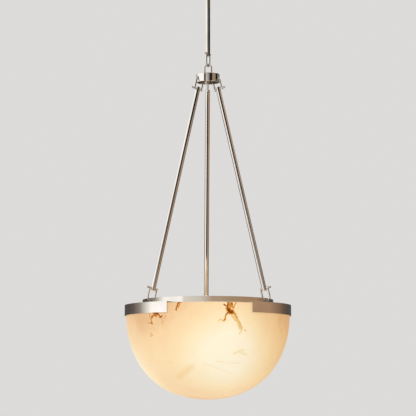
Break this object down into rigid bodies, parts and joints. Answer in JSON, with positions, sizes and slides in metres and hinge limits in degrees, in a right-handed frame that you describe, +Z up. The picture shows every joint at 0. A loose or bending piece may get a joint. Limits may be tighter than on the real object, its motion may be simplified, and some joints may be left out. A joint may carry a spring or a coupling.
{
  "type": "pendant lamp",
  "caption": "Deep alabaster bowl hung on inclined rods from a hub and ceiling stem, joined by screw-pin shackles, with a flat crown ring and bracket tabs round the rim",
  "frame": {"origin": "middle of the crossbar's top face, on the stem's axis and on the ceiling", "axes": "+Z up, the stem on the Z axis; the viewer stands toward -Y; +X is the viewer's right"},
  "size_m": [0.606, 0.601, 1.5978],
  "materials": {
    "polished_nickel": "polished nickel plate",
    "zinc_steel": "zinc-plated steel",
    "green_screw": "green-coated steel",
    "white_enamel": "satin white enamel",
    "rubber": "matt black",
    "alabaster": "honed, translucent, with rust-coloured veins",
    "phenolic": "moulded ivory thermoset",
    "cap_brass": "plain brass screw cap",
    "opal_glass": "frosted warm-white"
  },
  "bodies": {
    "ceiling": {"crossbar": "zinc_steel", "threaded_nipple": "zinc_steel", "lock_nut": "zinc_steel", "ground_screw": "green_screw", "stem": "polished_nickel", "stem_foot_plug": "polished_nickel", "stem_thread_insert": "polished_nickel"},
    "canopy": {"canopy": "polished_nickel", "canopy_collar": "polished_nickel", "collar_thumb_screw": "polished_nickel"},
    "top_shackle": {"top_shackle": "polished_nickel", "top_pin": "polished_nickel"},
    "hub": {"hub_cup": "polished_nickel", "hub_loop": "polished_nickel", "loop_nuts": "zinc_steel", "wire_bushing": "rubber", "upper_shackle_1": "polished_nickel", "upper_pin_1": "polished_nickel", "upper_shackle_2": "polished_nickel", "upper_pin_2": "polished_nickel", "upper_shackle_3": "polished_nickel", "upper_pin_3": "polished_nickel"},
    "rod_1": {"rod_1": "polished_nickel", "rod_1_plugs": "polished_nickel", "lower_shackle_1": "polished_nickel", "lower_pin_1": "polished_nickel"},
    "rod_2": {"rod_2": "polished_nickel", "rod_2_plugs": "polished_nickel", "lower_shackle_2": "polished_nickel", "lower_pin_2": "polished_nickel"},
    "rod_3": {"rod_3": "polished_nickel", "rod_3_plugs": "polished_nickel", "lower_shackle_3": "polished_nickel", "lower_pin_3": "polished_nickel"},
    "bowl": {"crown_ring": "polished_nickel", "tab_bracket_1": "polished_nickel", "tab_bracket_2": "polished_nickel", "tab_bracket_3": "polished_nickel", "ring_screws": "zinc_steel", "rim_liners": "rubber", "clamp_plates": "zinc_steel", "bracket_studs": "zinc_steel", "stone_bushes": "rubber", "stud_nuts": "zinc_steel", "alabaster_bowl": "alabaster", "lamp_spider": "white_enamel", "spider_screws": "zinc_steel", "junction_cup": "white_enamel", "lamp_nipples": "white_enamel", "lamp_holder_1": "phenolic", "bulb_cap_1": "cap_brass", "bulb_glass_1": "opal_glass", "lamp_holder_2": "phenolic", "bulb_cap_2": "cap_brass", "bulb_glass_2": "opal_glass", "lamp_holder_3": "phenolic", "bulb_cap_3": "cap_brass", "bulb_glass_3": "opal_glass"}
  },
  "joints": [
    {"name": "canopy_slide", "type": "slide", "parent": "ceiling", "child": "canopy", "axis": [0, 0, 1], "range_m": [-0.12, 0]},
    {"name": "top_shackle_swing", "type": "hinge", "parent": "ceiling", "child": "top_shackle", "pos_m": [0, 0, -0.328], "axis": [-0.4226, -0.9063, 0], "range_deg": [-40, 40]},
    {"name": "hub_swing", "type": "hinge", "parent": "top_shackle", "child": "hub", "pos_m": [0, 0, -0.3664], "axis": [0.9063, -0.4226, 0], "range_deg": [-35, 35]},
    {"name": "bowl_twist", "type": "hinge", "parent": "hub", "child": "bowl", "pos_m": [0, 0, -1.25677], "axis": [0, 0, 1], "range_deg": [-4, 4], "stiffness_Nm_per_rad": 2.65},
    {"name": "rod_1_swing", "type": "hinge", "parent": "hub", "child": "rod_1", "pos_m": [0, 0.04326, -0.46258], "axis": [0, 0.9696, 0.2446], "range_deg": [-1.5, 1.5]},
    {"name": "rod_2_swing", "type": "hinge", "parent": "hub", "child": "rod_2", "pos_m": [-0.03746, -0.02163, -0.46258], "axis": [-0.8397, -0.4848, 0.2446], "range_deg": [-1.5, 1.5]},
    {"name": "rod_3_swing", "type": "hinge", "parent": "hub", "child": "rod_3", "pos_m": [0.03746, -0.02163, -0.46258], "axis": [0.8397, -0.4848, 0.2446], "range_deg": [-1.5, 1.5]}
  ],
  "couplings": [
    {"joint": "rod_1_swing", "follows": "bowl_twist", "ratio": 0.2906},
    {"joint": "rod_2_swing", "follows": "bowl_twist", "ratio": 0.2906},
    {"joint": "rod_3_swing", "follows": "bowl_twist", "ratio": 0.2906}
  ]
}
